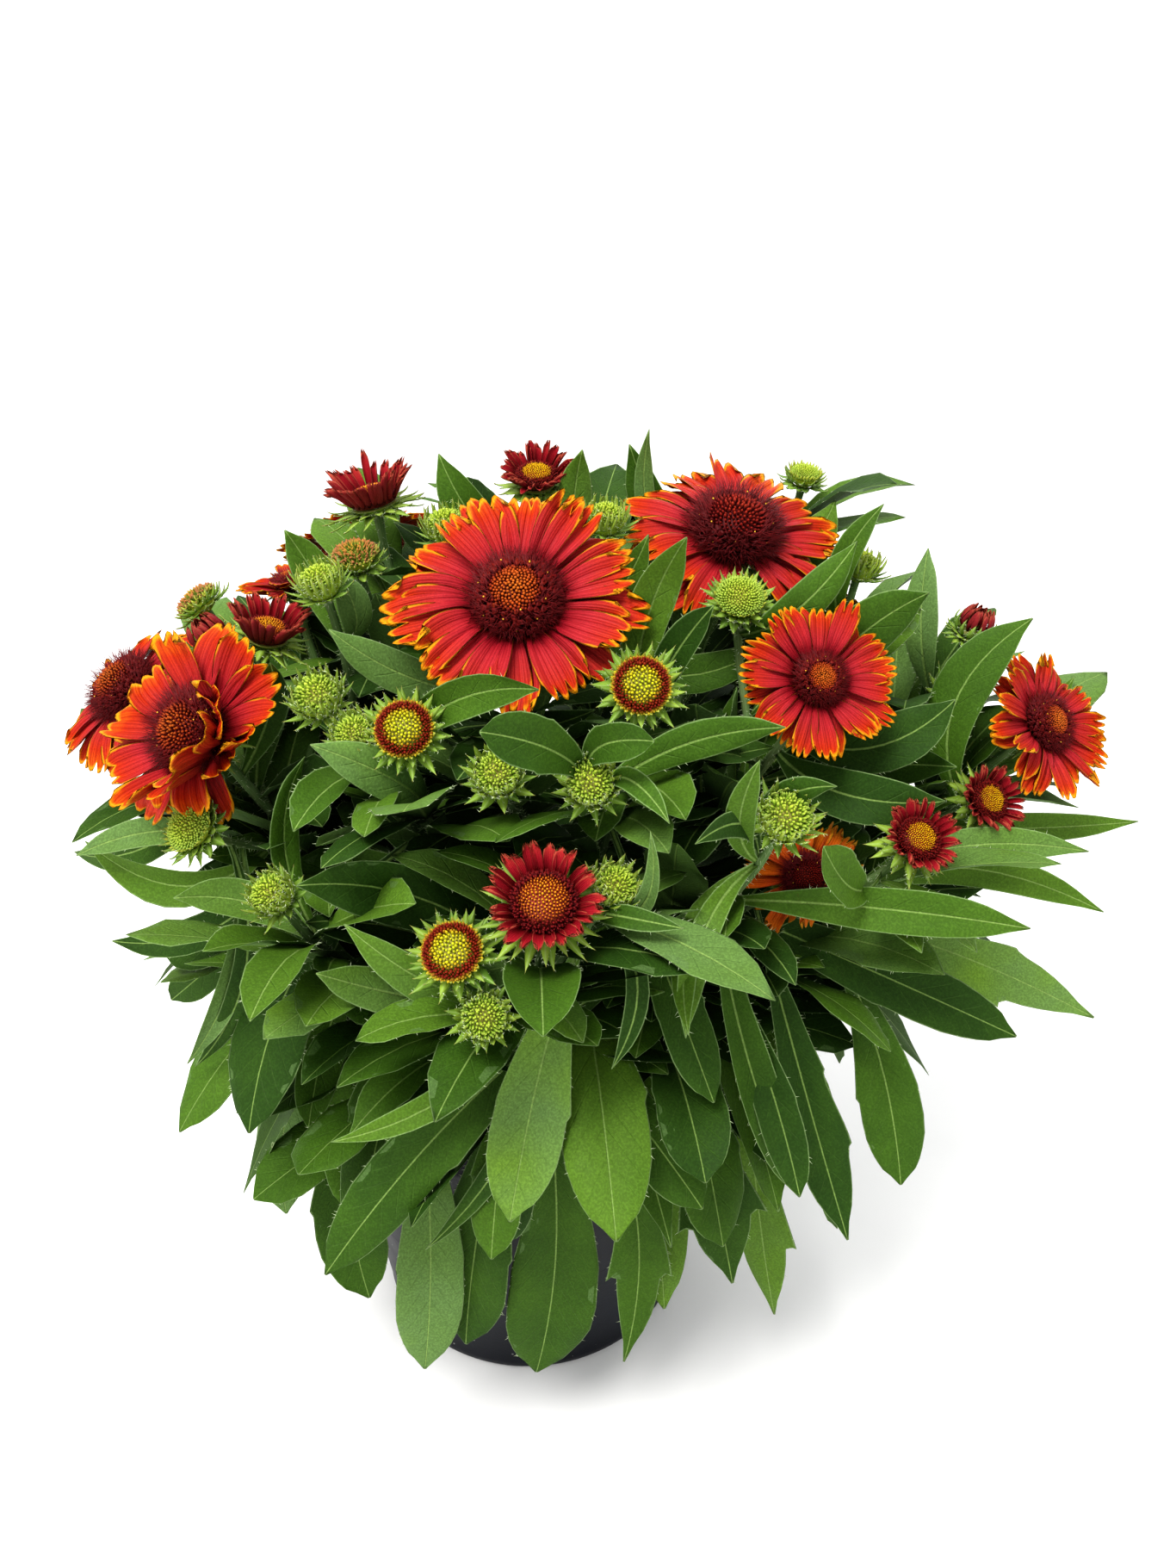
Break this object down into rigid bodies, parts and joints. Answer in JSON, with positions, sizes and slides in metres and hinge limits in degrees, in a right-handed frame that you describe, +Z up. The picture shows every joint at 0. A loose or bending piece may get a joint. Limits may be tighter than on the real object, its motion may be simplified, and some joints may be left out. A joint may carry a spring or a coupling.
{
  "type": "potted blanket flower",
  "caption": "Blanket flower in a round tapered nursery pot, with leafy stems, green buds and red daisy blooms edged in yellow.",
  "frame": {"origin": "middle of the pot's flat underside", "axes": "+Z up, -Y towards the front of the plant"},
  "size_m": [0.394, 0.3115, 0.3541],
  "materials": {
    "pot": "black moulded plastic, slightly glossy and dusty",
    "soil": "damp peat potting mix with bark and perlite",
    "leaf": "matte hairy green leaf and stem",
    "petal": "coral red petal edged in yellow orange",
    "young_petal": "dark red unopened petal",
    "disc": "bristly maroon florets round an orange brown centre",
    "young_disc": "yellow to orange unopened florets"
  },
  "bodies": {
    "root": {"disc_b01": "disc", "disc_b02": "disc", "disc_b03": "disc", "disc_b04": "disc", "disc_b05": "disc", "disc_b06": "disc", "disc_b07": "disc", "disc_b08": "disc", "disc_b09": "disc", "disc_b10": "disc", "disc_b11": "disc", "disc_d01": "young_disc", "disc_d02": "young_disc", "disc_d03": "young_disc", "disc_d04": "young_disc", "disc_d05": "young_disc", "disc_d06": "young_disc", "disc_d07": "young_disc", "petals_b01": "petal", "petals_b02": "petal", "petals_b03": "petal", "petals_b04": "petal", "petals_b05": "petal", "petals_b06": "petal", "petals_b07": "petal", "petals_b08": "petal", "petals_b09": "petal", "petals_b10": "petal", "petals_b11": "petal", "petals_c01": "young_petal", "petals_c02": "young_petal", "petals_d01": "young_petal", "petals_d02": "young_petal", "petals_d03": "young_petal", "petals_d04": "young_petal", "petals_d05": "young_petal", "petals_d06": "young_petal", "petals_d07": "young_petal", "pot": "pot", "shoot_s01": "leaf", "shoot_s02": "leaf", "shoot_s03": "leaf", "shoot_s04": "leaf", "shoot_s05": "leaf", "shoot_s06": "leaf", "shoot_s07": "leaf", "shoot_s08": "leaf", "shoot_s09": "leaf", "shoot_s10": "leaf", "shoot_s11": "leaf", "shoot_s12": "leaf", "shoot_s13": "leaf", "shoot_s14": "leaf", "shoot_s15": "leaf", "shoot_s16": "leaf", "shoot_s17": "leaf", "shoot_s18": "leaf", "shoot_s19": "leaf", "soil": "soil"}
  },
  "joints": []
}
